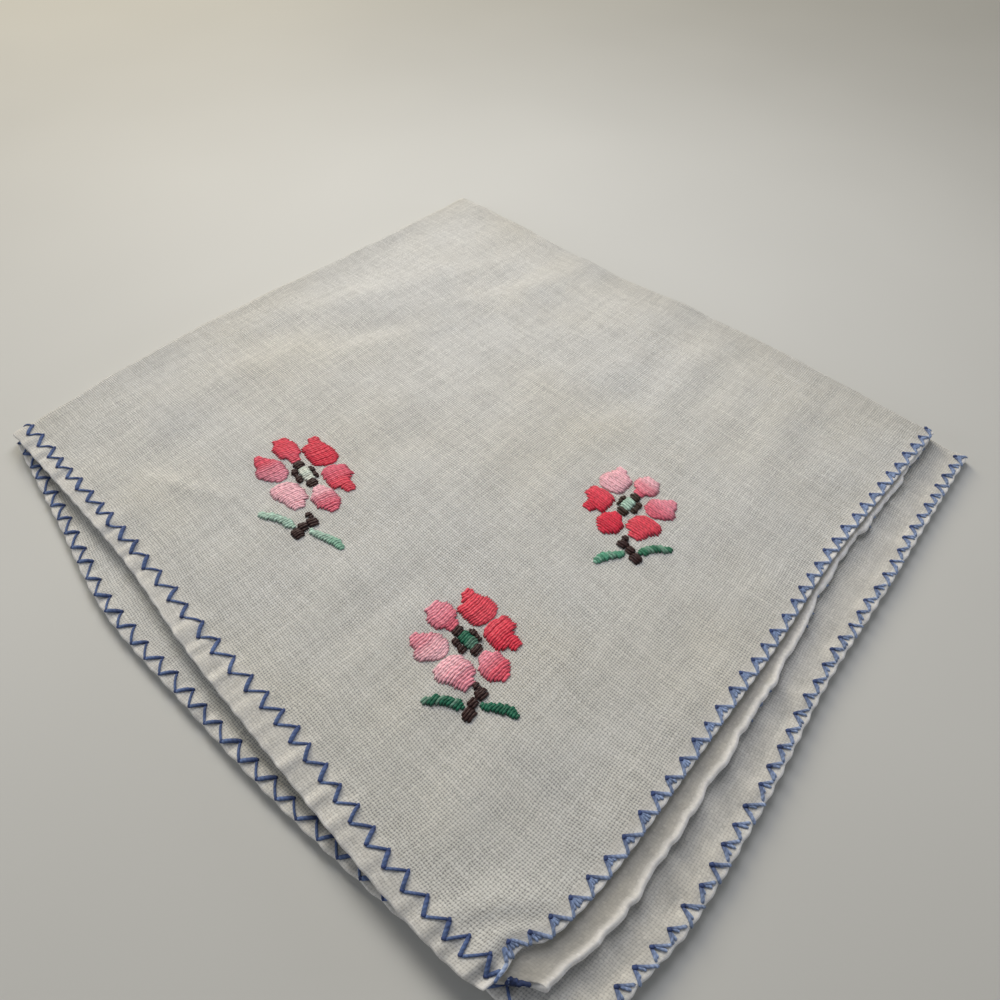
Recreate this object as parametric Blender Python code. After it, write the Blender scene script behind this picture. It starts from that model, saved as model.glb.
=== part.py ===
"""Linen handkerchief folded in four, modelled as one closed sheet of cloth.

The square is folded once about an upright crease on the right and then once
about a crease at the back, so all four hemmed corners meet at the near left
corner. The folds are a little careless: each layer shows past the one above
it, and the hems bow and wander. Units are metres, +Z is up, and the origin is
the middle of the footprint, on the surface that the cloth lies on.
"""

import math
from typing import NamedTuple

import bmesh
import bpy
from mathutils import Matrix, Vector

MM = 0.001

# Sheet: the thickness stands for linen with its turned hems.
THICKNESS = 1.0 * MM
LAYER_GAP = 0.4 * MM
LAYER_PITCH = THICKNESS + LAYER_GAP

# Bends, as radii of the sheet's middle surface.
SIDE_BEND = LAYER_PITCH / 2.0
BACK_BEND = LAYER_PITCH
REACH = BACK_BEND + SIDE_BEND

# Grid of the sheet.
FLAT_STEPS = 14
BEND_STEPS = 6

# Where the outlines are stated, as shares of a folded side from the near corner.
STATIONS = (0.0, 0.08, 0.16, 0.33, 0.5, 0.67, 0.83, 1.0)

# Left hem of each layer, x in millimetres from the near corner of the top one.
LEFT_HEM_X_MM = {
    "top": (-1.4, -3.6, -4.1, -3.9, -3.4, -1.8, -1.9, -2.4),
    "second": (0.2, -2.7, -3.3, -3.1, -2.6, -1.0, -1.1, -1.8),
    "third": (1.5, -1.4, -3.6, -7.1, -8.9, -9.8, -6.5, -3.0),
    "bottom": (3.0, 0.4, -1.8, -5.3, -7.0, -7.8, -4.5, 0.0),
}

# Near hem of each layer, y in millimetres from the same corner.
NEAR_HEM_Y_MM = {
    "top": (1.0, -1.7, -2.6, -1.9, -1.0, 0.8, 1.0, 0.8),
    "second": (-2.5, -6.6, -7.1, -5.7, -3.7, -0.6, -0.4, 0.8),
    "third": (-13.2, -13.7, -14.9, -13.6, -11.0, -10.0, -8.8, -7.5),
    "bottom": (-11.2, -12.0, -13.2, -12.1, -9.7, -8.8, -8.2, -7.5),
}

# Outer faces of the creases: the side one for the upper and the lower pair of
# layers, x in millimetres, and the back one, y in millimetres.
SIDE_CREASE_X_MM = {
    "upper": (140.8, 140.9, 140.8, 140.6, 138.8, 136.6, 136.8, 136.2),
    "lower": (142.0, 141.8, 141.4, 140.2, 138.6, 137.4, 136.6, 136.2),
}
BACK_CREASE_Y_MM = (147.5, 148.2, 149.2, 150.6, 150.2, 148.8, 148.2, 148.0)


class Swell(NamedTuple):
    """A soft ridge of the pile of layers, in millimetres and degrees."""

    name: str
    x: float
    y: float
    half_length: float
    half_width: float
    turn: float
    height: float


SWELLS = (
    Swell("far ridge", 84.0, 118.0, 42.0, 11.0, 14.0, 1.3),
    Swell("far left slope", 42.0, 128.0, 24.0, 9.0, -20.0, 0.8),
    Swell("middle rise", 66.0, 78.0, 48.0, 26.0, 35.0, 0.9),
    Swell("side ripple", 128.0, 66.0, 24.0, 6.0, 6.0, 0.9),
    Swell("second side ripple", 124.0, 98.0, 22.0, 6.0, -8.0, 0.8),
    Swell("third side ripple", 118.0, 30.0, 26.0, 7.0, 10.0, 0.7),
    Swell("corner pinch", 7.0, 5.0, 10.0, 3.0, -42.0, 0.7),
    Swell("near hem rise", 52.0, 2.0, 30.0, 6.0, 0.0, 0.5),
)

LINEN_COLOUR = (0.56, 0.54, 0.50, 1.0)
LINEN_ROUGHNESS = 0.92


def clear_scene() -> None:
    """Remove every object that the scene starts with."""
    for obj in list(bpy.data.objects):
        bpy.data.objects.remove(obj, do_unlink=True)


def read_table(values: tuple, share: float) -> float:
    """Read a table at a share of the side, on a smooth curve through its stations."""
    last = len(STATIONS) - 1
    k = 0
    while k < last - 1 and share > STATIONS[k + 1]:
        k += 1

    def slope(n: int) -> float:
        low = max(n - 1, 0)
        high = min(n + 1, last)
        return (values[high] - values[low]) / (STATIONS[high] - STATIONS[low])

    width = STATIONS[k + 1] - STATIONS[k]
    f = (share - STATIONS[k]) / width
    rise = f * f * (3.0 - 2.0 * f)
    lead_in = f * (1.0 - f) ** 2
    lead_out = f * f * (f - 1.0)
    middle = values[k] + (values[k + 1] - values[k]) * rise
    return middle + width * (lead_in * slope(k) + lead_out * slope(k + 1))


def swell_height(x: float, y: float) -> float:
    """Height of all the soft ridges at a point, in metres, as the top layer has it."""
    total = 0.0
    for swell in SWELLS:
        turn = math.radians(swell.turn)
        dx = x / MM - swell.x
        dy = y / MM - swell.y
        along = (dx * math.cos(turn) + dy * math.sin(turn)) / swell.half_length
        across = (dy * math.cos(turn) - dx * math.sin(turn)) / swell.half_width
        total += swell.height * math.exp(-(along * along + across * across))
    return total * MM


def grid_share(index: int) -> tuple:
    """Turn a grid line's number into its share of the folded side and its angle round the bend."""
    if index <= FLAT_STEPS:
        return index / FLAT_STEPS, 0.0
    if index <= FLAT_STEPS + BEND_STEPS:
        return 1.0, math.pi * (index - FLAT_STEPS) / BEND_STEPS
    return (2 * FLAT_STEPS + BEND_STEPS - index) / FLAT_STEPS, math.pi


def layer_name(side_angle: float, back_angle: float) -> str:
    """Name the layer that a point of the sheet belongs to."""
    right_side_out = side_angle <= math.pi / 2.0
    upper = back_angle <= math.pi / 2.0
    if upper:
        return "top" if right_side_out else "second"
    return "bottom" if right_side_out else "third"


def folded_point(across: int, along: int) -> Vector:
    """Place one grid point of the flat sheet where it lies once folded."""
    s, side_angle = grid_share(across)
    t, back_angle = grid_share(along)
    layer = layer_name(side_angle, back_angle)
    pair = "upper" if back_angle <= math.pi / 2.0 else "lower"
    offset = SIDE_BEND * math.cos(side_angle)
    side_end = read_table(SIDE_CREASE_X_MM[pair], t) * MM - THICKNESS / 2.0 - SIDE_BEND
    back_end = read_table(BACK_CREASE_Y_MM, s) * MM - THICKNESS / 2.0 - REACH
    hem_x = read_table(LEFT_HEM_X_MM[layer], t) * MM
    hem_y = read_table(NEAR_HEM_Y_MM[layer], s) * MM
    x = (1.0 - s) * hem_x + s * side_end + SIDE_BEND * math.sin(side_angle)
    y = (1.0 - t) * hem_y + t * back_end + (BACK_BEND + offset) * math.sin(back_angle)
    above_bottom = REACH + (BACK_BEND + offset) * math.cos(back_angle)
    share = above_bottom / (2.0 * REACH)
    return Vector((x, y, THICKNESS / 2.0 + above_bottom + share * swell_height(x, y)))


def folded_sheet() -> bmesh.types.BMesh:
    """Fold a flat grid of faces into the middle surface of the cloth."""
    steps = 2 * FLAT_STEPS + BEND_STEPS
    bm = bmesh.new()
    bmesh.ops.create_grid(bm, x_segments=steps, y_segments=steps, size=steps / 2.0)
    for vert in bm.verts:
        across = round(vert.co.x + steps / 2.0)
        along = round(vert.co.y + steps / 2.0)
        vert.co = folded_point(across, along)
    bmesh.ops.recalc_face_normals(bm, faces=bm.faces)
    return bm


def linen_material() -> bpy.types.Material:
    """Plain washed linen."""
    material = bpy.data.materials.new("white_linen")
    material.use_nodes = True
    shader = material.node_tree.nodes["Principled BSDF"]
    shader.inputs["Base Color"].default_value = LINEN_COLOUR
    shader.inputs["Roughness"].default_value = LINEN_ROUGHNESS
    shader.inputs["Metallic"].default_value = 0.0
    return material


def thickened(obj: bpy.types.Object) -> bpy.types.Mesh:
    """Give the middle surface its thickness, half to each side."""
    solidify = obj.modifiers.new("thickness", "SOLIDIFY")
    solidify.thickness = THICKNESS
    solidify.offset = 0.0
    solidify.use_even_offset = True
    solidify.use_quality_normals = True
    depsgraph = bpy.context.evaluated_depsgraph_get()
    return bpy.data.meshes.new_from_object(obj.evaluated_get(depsgraph))


def centre_footprint(mesh: bpy.types.Mesh) -> None:
    """Move the mesh so that the middle of its footprint is the origin."""
    xs = [vert.co.x for vert in mesh.vertices]
    ys = [vert.co.y for vert in mesh.vertices]
    lows = [vert.co.z for vert in mesh.vertices]
    middle = Vector(((min(xs) + max(xs)) / 2.0, (min(ys) + max(ys)) / 2.0, min(lows)))
    mesh.transform(Matrix.Translation(-middle))


def build_cloth() -> bpy.types.Object:
    """Build the folded handkerchief as one closed solid."""
    bm = folded_sheet()
    mesh = bpy.data.meshes.new("handkerchief_cloth")
    bm.to_mesh(mesh)
    bm.free()
    obj = bpy.data.objects.new("handkerchief_cloth", mesh)
    bpy.context.scene.collection.objects.link(obj)
    solid = thickened(obj)
    obj.modifiers.clear()
    obj.data = solid
    centre_footprint(solid)
    solid.materials.clear()
    solid.materials.append(linen_material())
    solid.shade_smooth()
    return obj


def main() -> None:
    """Clear the scene and build the handkerchief."""
    clear_scene()
    build_cloth()


main()
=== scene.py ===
"""Looks of the linen handkerchief folded in four.

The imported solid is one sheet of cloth 1 mm thick. Here a finer and thinner
sheet lies on the same folds, with its hems, and the blue zigzag along the hems
and the three satin stitch flowers are laid on it stitch by stitch. Lengths are
in millimetres until a mesh is written, which is in metres, with +Z up and the
origin in the middle of the footprint.
"""

import logging
import math
from dataclasses import dataclass, field
from enum import Enum

import bmesh
import bpy
import numpy as np
from mathutils import Euler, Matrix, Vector

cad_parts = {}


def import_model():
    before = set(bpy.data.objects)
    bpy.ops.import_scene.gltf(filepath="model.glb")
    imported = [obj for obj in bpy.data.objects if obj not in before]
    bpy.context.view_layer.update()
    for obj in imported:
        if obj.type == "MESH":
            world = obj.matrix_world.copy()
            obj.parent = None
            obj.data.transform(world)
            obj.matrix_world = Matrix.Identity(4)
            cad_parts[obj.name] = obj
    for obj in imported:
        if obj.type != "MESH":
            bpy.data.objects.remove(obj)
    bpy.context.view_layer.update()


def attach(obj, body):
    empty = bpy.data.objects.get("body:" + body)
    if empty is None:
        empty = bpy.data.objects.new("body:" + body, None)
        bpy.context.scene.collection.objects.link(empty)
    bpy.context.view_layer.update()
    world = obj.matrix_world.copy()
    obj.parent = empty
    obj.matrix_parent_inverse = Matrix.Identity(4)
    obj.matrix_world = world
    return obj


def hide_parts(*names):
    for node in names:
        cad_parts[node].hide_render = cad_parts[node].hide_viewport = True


MM = 0.001
LOG = logging.getLogger("handkerchief")

# Millimetres that one whole unit of a UV map stands for, on the flat sheet and along a thread.
SHEET_UV_MM = 320.0
THREAD_UV_MM = 10.0

# Node kinds that the materials use often.
MATH = "ShaderNodeMath"
VECTOR_MATH = "ShaderNodeVectorMath"
MAP_RANGE = "ShaderNodeMapRange"
MIX = "ShaderNodeMix"
NOISE = "ShaderNodeTexNoise"
ATTRIBUTE = "ShaderNodeAttribute"


# Helpers


def hex_colour(code: str) -> tuple[float, float, float, float]:
    """Turn an sRGB hex colour into a linear one.

    Args:
        code: six hex digits, such as "c8c6bf".

    Returns:
        The linear red, green and blue, and a full alpha.
    """
    parts = [int(code[k : k + 2], 16) / 255.0 for k in (0, 2, 4)]
    linear = [c / 12.92 if c <= 0.04045 else ((c + 0.055) / 1.055) ** 2.4 for c in parts]
    return (linear[0], linear[1], linear[2], 1.0)


def smooth_share(value: np.ndarray, low: float, high: float) -> np.ndarray:
    """Rise smoothly from 0 at low to 1 at high.

    Args:
        value: what is read.
        low: where the rise starts.
        high: where it ends.

    Returns:
        The share at each value.
    """
    share = np.clip((value - low) / (high - low), 0.0, 1.0)
    return share * share * (3.0 - 2.0 * share)


def fade(
    first: np.ndarray, reach: float | np.ndarray, second: float | np.ndarray = 0.0, second_reach: float = 1.0
) -> np.ndarray:
    """Fall softly from 1 at a line, or from the point where two lines cross.

    Args:
        first: distance from the first line.
        reach: distance from it at which about a third is left.
        second: distance from the second line.
        second_reach: the same for the second line.

    Returns:
        The share at each distance.
    """
    return np.exp(-((first / reach) ** 2) - (second / second_reach) ** 2)


def unit(vectors: np.ndarray) -> np.ndarray:
    """Scale vectors along the last axis to length 1."""
    return vectors / np.maximum(np.linalg.norm(vectors, axis=-1, keepdims=True), 1e-9)


def add_node(
    tree: bpy.types.NodeTree, kind: str, inputs: dict | None = None, **settings: object
) -> bpy.types.Node:
    """Add a node with its settings, and set or link its inputs.

    Args:
        tree: the material's node tree.
        kind: the node's Blender type.
        inputs: socket name or number, and its value, an output socket or a node for its first output.
        settings: the node's own settings.

    Returns:
        The new node.
    """
    made = tree.nodes.new(kind)
    for name, value in settings.items():
        setattr(made, name, value)
    for socket, value in (inputs or {}).items():
        if isinstance(value, bpy.types.Node):
            value = value.outputs[0]
        if isinstance(value, bpy.types.NodeSocket):
            tree.links.new(value, made.inputs[socket])
        else:
            made.inputs[socket].default_value = value
    return made


def new_material(name: str) -> tuple[bpy.types.Material, bpy.types.NodeTree, bpy.types.Node]:
    """Start a material with its shader.

    Args:
        name: the material's name.

    Returns:
        The material, its node tree and its Principled shader.
    """
    material = bpy.data.materials.new(name)
    material.use_nodes = True
    tree = material.node_tree
    tree.nodes.clear()
    shader = add_node(tree, "ShaderNodeBsdfPrincipled")
    add_node(tree, "ShaderNodeOutputMaterial", {"Surface": shader})
    return material, tree, shader


def show(name: str, mesh: bpy.types.Mesh) -> bpy.types.Object:
    """Put a finished mesh in the scene with smooth shading.

    Args:
        name: the piece's name.
        mesh: its mesh, in place.

    Returns:
        The new object, at the origin.
    """
    mesh.shade_smooth()
    obj = bpy.data.objects.new(name, mesh)
    bpy.context.scene.collection.objects.link(obj)
    return obj


# The fold


class Layer(Enum):
    """The four layers from the top."""

    TOP = 0
    SECOND = 1
    THIRD = 2
    BOTTOM = 3


class Hem(Enum):
    """The four hems of the flat sheet, two at each open side of the folded one."""

    FIRST_SIDE = "first side"
    SECOND_SIDE = "second side"
    FIRST_END = "first end"
    SECOND_END = "second end"


# Where the outlines are stated, as shares of a folded side from the near corner.
STATIONS = np.array((0.0, 0.08, 0.16, 0.33, 0.5, 0.67, 0.83, 1.0))

# Left hem of each layer, x in millimetres from the near corner of the top one.
LEFT_HEM_X = {
    Layer.TOP: (-1.4, -3.6, -4.1, -3.9, -3.4, -1.8, -1.9, -2.4),
    Layer.SECOND: (0.2, -2.7, -3.3, -3.1, -2.6, -1.0, -1.1, -1.8),
    Layer.THIRD: (1.5, -1.4, -3.6, -7.1, -8.9, -9.8, -6.5, -3.0),
    Layer.BOTTOM: (3.0, 0.4, -1.8, -5.3, -7.0, -7.8, -4.5, 0.0),
}

# Near hem of each layer, y in millimetres from the same corner.
NEAR_HEM_Y = {
    Layer.TOP: (1.0, -1.7, -2.6, -1.9, -1.0, 0.8, 1.0, 0.8),
    Layer.SECOND: (-2.5, -6.6, -7.1, -5.7, -3.7, -0.6, -0.4, 0.8),
    Layer.THIRD: (-13.2, -13.7, -14.9, -13.6, -11.0, -10.0, -8.8, -7.5),
    Layer.BOTTOM: (-11.2, -12.0, -13.2, -12.1, -9.7, -8.8, -8.2, -7.5),
}

# How far the zigzag's outer points keep from the edge of the top layer's left
# hem, in millimetres at the stations.
SIDE_STITCH_INSET = (1.6, 2.0, 2.4, 3.6, 2.9, 1.9, 2.0, 2.2)

# Outer points of the zigzag down the top layer's left hem, y in millimetres.
SIDE_TEETH = (
    2.0, 6.0, 8.9, 12.9, 17.4, 21.6, 25.8, 30.0, 34.1, 38.3, 42.5, 46.6,
    50.7, 54.6, 58.9, 63.5, 69.0, 73.5, 79.1, 83.9, 88.6, 93.8, 98.8,
)

# First outer points of the zigzag along the top layer's near hem, as flat distances in millimetres.
END_TEETH = (4.9, 7.4, 10.3, 13.8, 17.7, 21.5)

# Outer faces of the creases, in millimetres.
UPPER_SIDE_CREASE_X = (140.8, 140.9, 140.8, 140.6, 138.8, 136.6, 136.8, 136.2)
LOWER_SIDE_CREASE_X = (142.0, 141.8, 141.4, 140.2, 138.6, 137.4, 136.6, 136.2)
BACK_CREASE_Y = (147.5, 148.2, 149.2, 150.6, 150.2, 148.8, 148.2, 148.0)

# How the hems depart from the smooth layers, in millimetres, for the layers
# from the top: how far they droop, how far their near rims turn up, how high the
# ribs at the side and end hems are, and how far the near rims bulge.
HEM_DROOP = (0.4, 0.1, 0.3, 0.0)
RIM_LIFT = (0.25, 0.0, 0.2, 0.0)
SIDE_RIBS = (0.42, 0.1, 0.32, 0.0)
END_RIBS = (0.1, 0.0, 0.15, 0.0)
END_BULGE = (0.12, 0.06, 0.14, 0.1)

# Waves that the ribs are the sum of: length in millimetres, start and size.
RIB_WAVES = ((2.6, 0.4, 0.25), (4.1, 2.1, 0.4), (6.7, 4.0, 0.4), (11.0, 1.2, 0.35))

# Distances from the edge, in millimetres, and the shares of its thickness that a hem has there.
TAPER_PLACES = (0.0, 0.3, 0.7, 1.4)
TAPER_SHARES = (0.4, 0.75, 0.92, 1.0)


def read_table(values: tuple, share: np.ndarray) -> np.ndarray:
    """Read a table on a smooth curve through its stations.

    Args:
        values: one value at each station.
        share: shares of the folded side.

    Returns:
        The table's value at each share.
    """
    table = np.array(values)
    last = len(STATIONS) - 1
    number = np.arange(last + 1)
    low = np.maximum(number - 1, 0)
    high = np.minimum(number + 1, last)
    slope = (table[high] - table[low]) / (STATIONS[high] - STATIONS[low])
    k = np.clip(np.searchsorted(STATIONS, share) - 1, 0, last - 1)
    width = STATIONS[k + 1] - STATIONS[k]
    f = (share - STATIONS[k]) / width
    middle = table[k] + (table[k + 1] - table[k]) * f * f * (3.0 - 2.0 * f)
    return middle + width * (f * (1.0 - f) ** 2 * slope[k] + f * f * (f - 1.0) * slope[k + 1])


@dataclass(frozen=True)
class Ridge:
    """A soft ridge of the cloth, or a trough where its height is negative, in millimetres and degrees."""

    name: str
    x: float
    y: float
    half_length: float
    half_width: float
    turn: float
    height: float

    def rise(self, x: np.ndarray, y: np.ndarray) -> np.ndarray:
        """Give its height at points of the plan.

        Args:
            x: distance from the near corner along the near hem.
            y: distance from it along the left hem.

        Returns:
            The height at each point.
        """
        turn = math.radians(self.turn)
        along = ((x - self.x) * math.cos(turn) + (y - self.y) * math.sin(turn)) / self.half_length
        across = ((y - self.y) * math.cos(turn) - (x - self.x) * math.sin(turn)) / self.half_width
        return self.height * np.exp(-(along * along + across * across))


# Main ridges of the whole pile, as in the solid.
SWELLS = (
    Ridge("far ridge", 84.0, 118.0, 42.0, 11.0, 14.0, 1.3),
    Ridge("far left slope", 42.0, 128.0, 24.0, 9.0, -20.0, 0.8),
    Ridge("middle rise", 66.0, 78.0, 48.0, 26.0, 35.0, 0.9),
    Ridge("side ripple", 128.0, 66.0, 24.0, 6.0, 6.0, 0.9),
    Ridge("second side ripple", 124.0, 98.0, 22.0, 6.0, -8.0, 0.8),
    Ridge("third side ripple", 118.0, 30.0, 26.0, 7.0, 10.0, 0.7),
    Ridge("corner pinch", 7.0, 5.0, 10.0, 3.0, -42.0, 0.7),
    Ridge("near hem rise", 52.0, 2.0, 30.0, 6.0, 0.0, 0.5),
)

# Finer ridges and troughs that the cloth has on top of them.
WRINKLES = (
    Ridge("back ridge", 80.0, 128.4, 19.0, 5.8, -22.0, 1.27),
    Ridge("trough in front of it", 75.0, 115.8, 13.0, 4.0, -24.0, -1.1),
    Ridge("far right ridge", 103.0, 105.6, 18.0, 3.2, -24.0, 0.42),
    Ridge("fine crease", 92.0, 99.5, 13.0, 1.5, -22.0, -0.21),
    Ridge("long fine crease", 87.0, 81.0, 18.0, 1.5, -25.0, -0.19),
    Ridge("middle ridge", 60.0, 92.2, 14.0, 5.0, -22.0, 0.34),
    Ridge("middle trough", 57.0, 80.5, 13.0, 4.5, -20.0, -0.3),
    Ridge("right middle trough", 88.0, 59.4, 14.0, 5.0, -8.0, -0.34),
    Ridge("side crest", 112.0, 23.5, 18.0, 4.0, 7.0, 0.22),
    Ridge("side trough", 115.0, 31.5, 20.0, 4.2, 7.0, -0.55),
    Ridge("second side crest", 118.0, 39.5, 15.0, 3.5, 8.0, 0.22),
    Ridge("third side crest", 112.0, 50.5, 20.0, 4.0, 12.0, 0.36),
    Ridge("second side trough", 122.0, 62.0, 16.0, 5.0, 18.0, -0.5),
    Ridge("fourth side crest", 126.0, 73.5, 12.0, 4.0, 20.0, 0.28),
    Ridge("near right pucker", 101.0, 17.0, 10.0, 2.6, 62.0, -0.26),
    Ridge("left far dip", 24.0, 118.0, 14.0, 4.0, 12.0, -0.3),
    Ridge("left crease", 15.5, 106.0, 13.0, 1.6, -62.0, 0.5),
    Ridge("flower pucker", 30.0, 50.5, 8.0, 3.0, 10.0, 0.22),
    Ridge("corner crease", 4.8, 5.4, 6.0, 0.9, -39.0, -0.75),
    Ridge("corner pad", 3.6, 3.4, 5.0, 1.6, -36.0, 0.45),
    Ridge("bright pucker", 44.7, 2.6, 4.0, 1.1, 62.0, 0.4),
    Ridge("second bright pucker", 50.5, 4.0, 4.0, 1.2, 58.0, 0.4),
    Ridge("long soft fold", 58.0, 16.0, 16.0, 3.0, 48.0, 0.3),
    Ridge("its trough", 62.0, 12.0, 14.0, 2.6, 48.0, -0.3),
)


@dataclass(frozen=True)
class Crumple:
    """Faint uneven relief of washed cloth, the sum of many low waves."""

    seed: int
    count: int
    shortest: float
    longest: float
    height: float

    def rise(self, x: np.ndarray, y: np.ndarray) -> np.ndarray:
        """Give its height at points of the plan.

        Args:
            x: distance from the near corner along the near hem.
            y: distance from it along the left hem.

        Returns:
            The height at each point.
        """
        random = np.random.default_rng(self.seed)
        total = np.zeros(np.shape(x))
        for _ in range(self.count):
            turn = random.uniform(0.0, math.pi)
            length = random.uniform(self.shortest, self.longest)
            start = random.uniform(0.0, 2.0 * math.pi)
            bend = random.uniform(0.02, 0.05)
            along = x * math.cos(turn) + y * math.sin(turn)
            across = y * math.cos(turn) - x * math.sin(turn)
            swing = 1.2 * np.sin(bend * across + start) + 0.8 * np.sin(2.7 * bend * across)
            patchy = 0.5 + 0.5 * np.sin(2.0 * np.pi * across / (4.1 * length) + 2.0 * start)
            wave = np.sin(2.0 * np.pi * along / length + swing)
            total = total + self.height * length / self.longest * patchy * wave
        return total


# Crumples of the whole cloth, and the sharper ones of the third layer where it shows past the second.
SOFT_CRUMPLE = Crumple(seed=5, count=14, shortest=8.0, longest=24.0, height=0.13)
HEM_CRUMPLE = Crumple(seed=9, count=8, shortest=4.0, longest=9.0, height=0.27)


@dataclass(frozen=True)
class Spot:
    """Flat points of the sheet, where they lie in plan, and how near the hems they are.

    across is the share of the folded side, hem_y the near hem of the point's own
    layer, and bottom how much the point belongs to the layer on the floor.
    """

    u: np.ndarray
    v: np.ndarray
    across: np.ndarray
    layer: np.ndarray
    x: np.ndarray
    y: np.ndarray
    hem_y: np.ndarray
    bottom: np.ndarray
    from_left: np.ndarray
    from_near: np.ndarray
    first_side: np.ndarray
    side_inset: np.ndarray

    @property
    def edge(self) -> np.ndarray:
        """Distance from the nearest hem's edge."""
        return np.minimum(self.from_left, self.from_near)

    def on(self, layer: Layer) -> np.ndarray:
        """Say which points lie in a layer."""
        return self.layer == layer.value


@dataclass(frozen=True)
class Laid:
    """Points of the sheet once folded, in plan millimetres.

    middle is the sheet's middle surface, facing the direction that its right
    side faces, face that side's distance from the middle surface, then how many
    plies of a hem show, counted past 1 where painted shade darkens the cloth,
    how near a rim is, for its painted highlight, and how near a crease is, for
    the painted shade there.
    """

    middle: np.ndarray
    facing: np.ndarray
    face: np.ndarray
    thickness: np.ndarray
    plies_and_shade: np.ndarray
    rim_highlight_share: np.ndarray
    crease_shade_share: np.ndarray


@dataclass(frozen=True)
class FoldedSquare:
    """Where each point of the flat sheet lies once it is folded in four.

    Flat places are u, across the sheet from the top layer's left hem, and v,
    along it from the top layer's near hem.
    """

    solid_thickness: float = 1.0
    layer_gap: float = 0.4
    centre_x: float = 66.038
    centre_y: float = 67.918
    top_width: float = 139.5
    side_bend: float = 2.2
    under_width: float = 143.0
    upper_length: float = 148.0
    back_bend: float = 4.4
    lower_length: float = 158.0
    cloth_thickness: float = 0.35
    hem_thickness: float = 1.0
    bottom_hem_thickness: float = 0.65
    top_hem_thinning: float = 0.4
    narrow_fold: float = 2.2
    wide_fold: float = 5.6
    floor_inset: float = 0.35
    side_pitch: float = 4.5
    end_pitch: float = 3.75

    @property
    def width(self) -> float:
        """Flat width of the sheet."""
        return self.top_width + self.side_bend + self.under_width

    @property
    def length(self) -> float:
        """Flat length of the sheet."""
        return self.upper_length + self.back_bend + self.lower_length

    def hem_length(self, hem: Hem) -> float:
        """Give the flat length of a hem."""
        return self.length if hem in (Hem.FIRST_SIDE, Hem.SECOND_SIDE) else self.width

    def teeth(self, hem: Hem) -> np.ndarray:
        """Give the places of the zigzag's outer points along a hem.

        Args:
            hem: which hem.

        Returns:
            Flat distances along the hem, a little uneven.
        """
        seeds = {Hem.FIRST_SIDE: 11, Hem.SECOND_SIDE: 12, Hem.FIRST_END: 13, Hem.SECOND_END: 14}
        random = np.random.default_rng(seeds[hem])
        pitch = self.side_pitch if hem in (Hem.FIRST_SIDE, Hem.SECOND_SIDE) else self.end_pitch
        first = np.array((1.0,))
        if hem is Hem.FIRST_SIDE:
            first = self.flat_place(np.zeros(len(SIDE_TEETH)), np.array(SIDE_TEETH))[1]
        elif hem is Hem.FIRST_END:
            first = np.array(END_TEETH)
        left = self.hem_length(hem) - 1.0 - first[-1]
        steps = 1.0 + random.uniform(-0.09, 0.09, round(left / pitch))
        return np.concatenate((first, first[-1] + np.cumsum(steps) * left / steps.sum()))

    def turns(self, u: np.ndarray, v: np.ndarray) -> tuple:
        """Give shares of the folded sides and angles round the bends.

        Args:
            u: flat places across.
            v: flat places along.

        Returns:
            Share across, angle round the side bend, share along and angle round the back bend.
        """
        side_angle = np.pi * np.clip((u - self.top_width) / self.side_bend, 0.0, 1.0)
        back_angle = np.pi * np.clip((v - self.upper_length) / self.back_bend, 0.0, 1.0)
        across = np.where(side_angle <= np.pi / 2, u / self.top_width, (self.width - u) / self.under_width)
        lower = (self.length - v) / self.lower_length
        along = np.where(back_angle <= np.pi / 2, v / self.upper_length, lower)
        return np.clip(across, 0.0, 1.0), side_angle, np.clip(along, 0.0, 1.0), back_angle

    def scallop(self, hem: Hem, place: np.ndarray) -> np.ndarray:
        """Say how far the edge bulges between the stitches.

        Args:
            hem: which hem.
            place: flat distance along it.

        Returns:
            From -1 at an outer point of the zigzag to 1 halfway to the next.
        """
        teeth = self.teeth(hem)
        return -np.cos(2.0 * np.pi * np.interp(place, teeth, np.arange(len(teeth))))

    def inset(self, hem: Hem, place: np.ndarray) -> np.ndarray:
        """Say how far the zigzag's outer points keep from the edge.

        Args:
            hem: which hem.
            place: flat distance along it.

        Returns:
            The distance in millimetres.
        """
        if hem is Hem.FIRST_SIDE:
            return read_table(SIDE_STITCH_INSET, np.clip(place / self.upper_length, 0.0, 1.0))
        if hem is Hem.SECOND_SIDE:
            return np.full(np.shape(place), 0.3)
        return np.full(np.shape(place), 0.05)

    def ribs(self, place: np.ndarray) -> np.ndarray:
        """Give the uneven small ribs that the stitching draws up across a hem.

        Args:
            place: flat distance along the hem.

        Returns:
            The rib at each place, about -1 to 1, stronger and weaker by turns.
        """
        strength = 0.65 + 0.35 * np.sin(2.0 * np.pi * place / 33.0 + 0.6)
        turns = 2.0 * np.pi * place
        return strength * sum(size * np.sin(turns / length + start) for length, start, size in RIB_WAVES)

    def rim_wander(self, place: np.ndarray) -> np.ndarray:
        """Give the uneven wander of the second layer's near rim.

        Args:
            place: flat distance along it.

        Returns:
            Slow bulges with short notches between them, about -1 to 1.
        """
        random = np.random.default_rng(41)
        notches = np.cumsum(random.uniform(4.5, 11.5, 40))
        depths = random.uniform(0.2, 1.0, 40)
        away = place[..., None] - notches
        cuts = (depths * fade(away, 0.9)).sum(axis=-1)
        turns = 2.0 * np.pi * place
        return 0.5 * np.sin(turns / 14.9 + 3.0) + 0.3 * np.sin(turns / 8.7) - cuts

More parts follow.
